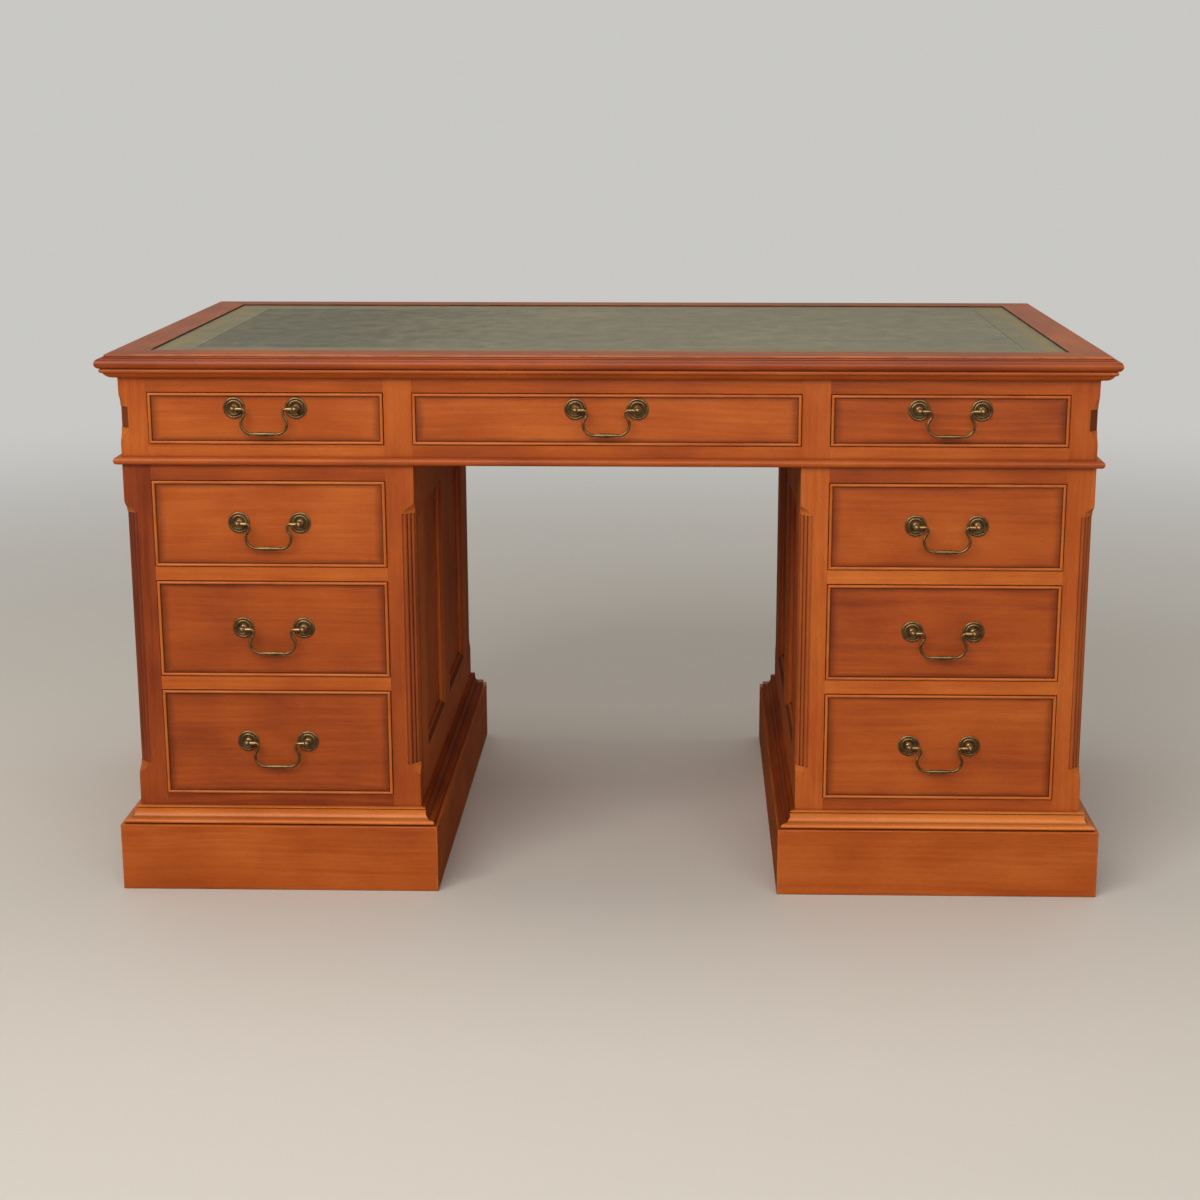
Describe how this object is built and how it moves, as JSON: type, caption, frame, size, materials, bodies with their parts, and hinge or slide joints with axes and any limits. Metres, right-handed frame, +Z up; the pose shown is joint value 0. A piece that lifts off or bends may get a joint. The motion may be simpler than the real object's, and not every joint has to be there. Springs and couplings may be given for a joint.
{
  "type": "pedestal desk",
  "caption": "Wooden pedestal writing desk with a leather-lined top, sliding drawers on swan-neck bail handles, canted reeded corners, panelled sides and a moulded plinth.",
  "frame": {"origin": "on the floor under the middle of the desk", "axes": "+X to the right of a sitter facing the desk, +Y from the drawer fronts to the back, +Z up"},
  "size_m": [1.38, 0.764, 0.762],
  "materials": {
    "show_wood": "satin lacquer",
    "lining_wood": "planed, waxed",
    "leather": "tooled, waxed",
    "brass": "antiqued"
  },
  "bodies": {
    "desk": {"top_border": "show_wood", "top_panel": "lining_wood", "top_leather": "leather", "frieze_mouldings": "show_wood", "frieze_posts": "show_wood", "frieze_front": "show_wood", "frieze_boards": "show_wood", "frieze_runners": "lining_wood", "left_pedestal_posts": "show_wood", "left_pedestal_frames": "show_wood", "left_pedestal_panels": "show_wood", "left_pedestal_drawer_rails": "show_wood", "left_pedestal_dustboards": "lining_wood", "left_pedestal_drawer_guides": "lining_wood", "left_plinth": "show_wood", "left_plinth_moulding": "show_wood", "right_pedestal_posts": "show_wood", "right_pedestal_frames": "show_wood", "right_pedestal_panels": "show_wood", "right_pedestal_drawer_rails": "show_wood", "right_pedestal_dustboards": "lining_wood", "right_pedestal_drawer_guides": "lining_wood", "right_plinth": "show_wood", "right_plinth_moulding": "show_wood"},
    "left_frieze_drawer": {"left_frieze_drawer_front": "show_wood", "left_frieze_drawer_box": "lining_wood", "left_frieze_drawer_rosettes": "brass"},
    "left_frieze_handle": {"left_frieze_drawer_bail": "brass"},
    "right_frieze_drawer": {"right_frieze_drawer_front": "show_wood", "right_frieze_drawer_box": "lining_wood", "right_frieze_drawer_rosettes": "brass"},
    "right_frieze_handle": {"right_frieze_drawer_bail": "brass"},
    "centre_frieze_drawer": {"centre_frieze_drawer_front": "show_wood", "centre_frieze_drawer_box": "lining_wood", "centre_frieze_drawer_rosettes": "brass"},
    "centre_frieze_handle": {"centre_frieze_drawer_bail": "brass"},
    "left_upper_drawer": {"left_upper_drawer_front": "show_wood", "left_upper_drawer_box": "lining_wood", "left_upper_drawer_rosettes": "brass"},
    "left_upper_handle": {"left_upper_drawer_bail": "brass"},
    "right_upper_drawer": {"right_upper_drawer_front": "show_wood", "right_upper_drawer_box": "lining_wood", "right_upper_drawer_rosettes": "brass"},
    "right_upper_handle": {"right_upper_drawer_bail": "brass"},
    "left_middle_drawer": {"left_middle_drawer_front": "show_wood", "left_middle_drawer_box": "lining_wood", "left_middle_drawer_rosettes": "brass"},
    "left_middle_handle": {"left_middle_drawer_bail": "brass"},
    "right_middle_drawer": {"right_middle_drawer_front": "show_wood", "right_middle_drawer_box": "lining_wood", "right_middle_drawer_rosettes": "brass"},
    "right_middle_handle": {"right_middle_drawer_bail": "brass"},
    "left_lower_drawer": {"left_lower_drawer_front": "show_wood", "left_lower_drawer_box": "lining_wood", "left_lower_drawer_rosettes": "brass"},
    "left_lower_handle": {"left_lower_drawer_bail": "brass"},
    "right_lower_drawer": {"right_lower_drawer_front": "show_wood", "right_lower_drawer_box": "lining_wood", "right_lower_drawer_rosettes": "brass"},
    "right_lower_handle": {"right_lower_drawer_bail": "brass"}
  },
  "joints": [
    {"name": "left_frieze_drawer_slide", "type": "slide", "parent": "desk", "child": "left_frieze_drawer", "axis": [0, -1, 0], "range_m": [0, 0.45]},
    {"name": "left_frieze_handle_swing", "type": "hinge", "parent": "left_frieze_drawer", "child": "left_frieze_handle", "pos_m": [-0.465, -0.369, 0.6875], "axis": [-1, 0, 0], "range_deg": [0, 110]},
    {"name": "right_frieze_drawer_slide", "type": "slide", "parent": "desk", "child": "right_frieze_drawer", "axis": [0, -1, 0], "range_m": [0, 0.45]},
    {"name": "right_frieze_handle_swing", "type": "hinge", "parent": "right_frieze_drawer", "child": "right_frieze_handle", "pos_m": [0.465, -0.369, 0.6875], "axis": [-1, 0, 0], "range_deg": [0, 110]},
    {"name": "centre_frieze_drawer_slide", "type": "slide", "parent": "desk", "child": "centre_frieze_drawer", "axis": [0, -1, 0], "range_m": [0, 0.45]},
    {"name": "centre_frieze_handle_swing", "type": "hinge", "parent": "centre_frieze_drawer", "child": "centre_frieze_handle", "pos_m": [0, -0.369, 0.6875], "axis": [-1, 0, 0], "range_deg": [0, 110]},
    {"name": "left_upper_drawer_slide", "type": "slide", "parent": "desk", "child": "left_upper_drawer", "axis": [0, -1, 0], "range_m": [0, 0.45]},
    {"name": "left_upper_handle_swing", "type": "hinge", "parent": "left_upper_drawer", "child": "left_upper_handle", "pos_m": [-0.465, -0.369, 0.52854], "axis": [-1, 0, 0], "range_deg": [0, 110]},
    {"name": "right_upper_drawer_slide", "type": "slide", "parent": "desk", "child": "right_upper_drawer", "axis": [0, -1, 0], "range_m": [0, 0.45]},
    {"name": "right_upper_handle_swing", "type": "hinge", "parent": "right_upper_drawer", "child": "right_upper_handle", "pos_m": [0.465, -0.369, 0.52854], "axis": [-1, 0, 0], "range_deg": [0, 110]},
    {"name": "left_middle_drawer_slide", "type": "slide", "parent": "desk", "child": "left_middle_drawer", "axis": [0, -1, 0], "range_m": [0, 0.45]},
    {"name": "left_middle_handle_swing", "type": "hinge", "parent": "left_middle_drawer", "child": "left_middle_handle", "pos_m": [-0.465, -0.369, 0.37925], "axis": [-1, 0, 0], "range_deg": [0, 110]},
    {"name": "right_middle_drawer_slide", "type": "slide", "parent": "desk", "child": "right_middle_drawer", "axis": [0, -1, 0], "range_m": [0, 0.45]},
    {"name": "right_middle_handle_swing", "type": "hinge", "parent": "right_middle_drawer", "child": "right_middle_handle", "pos_m": [0.465, -0.369, 0.37925], "axis": [-1, 0, 0], "range_deg": [0, 110]},
    {"name": "left_lower_drawer_slide", "type": "slide", "parent": "desk", "child": "left_lower_drawer", "axis": [0, -1, 0], "range_m": [0, 0.45]},
    {"name": "left_lower_handle_swing", "type": "hinge", "parent": "left_lower_drawer", "child": "left_lower_handle", "pos_m": [-0.465, -0.369, 0.21421], "axis": [-1, 0, 0], "range_deg": [0, 110]},
    {"name": "right_lower_drawer_slide", "type": "slide", "parent": "desk", "child": "right_lower_drawer", "axis": [0, -1, 0], "range_m": [0, 0.45]},
    {"name": "right_lower_handle_swing", "type": "hinge", "parent": "right_lower_drawer", "child": "right_lower_handle", "pos_m": [0.465, -0.369, 0.21421], "axis": [-1, 0, 0], "range_deg": [0, 110]}
  ]
}
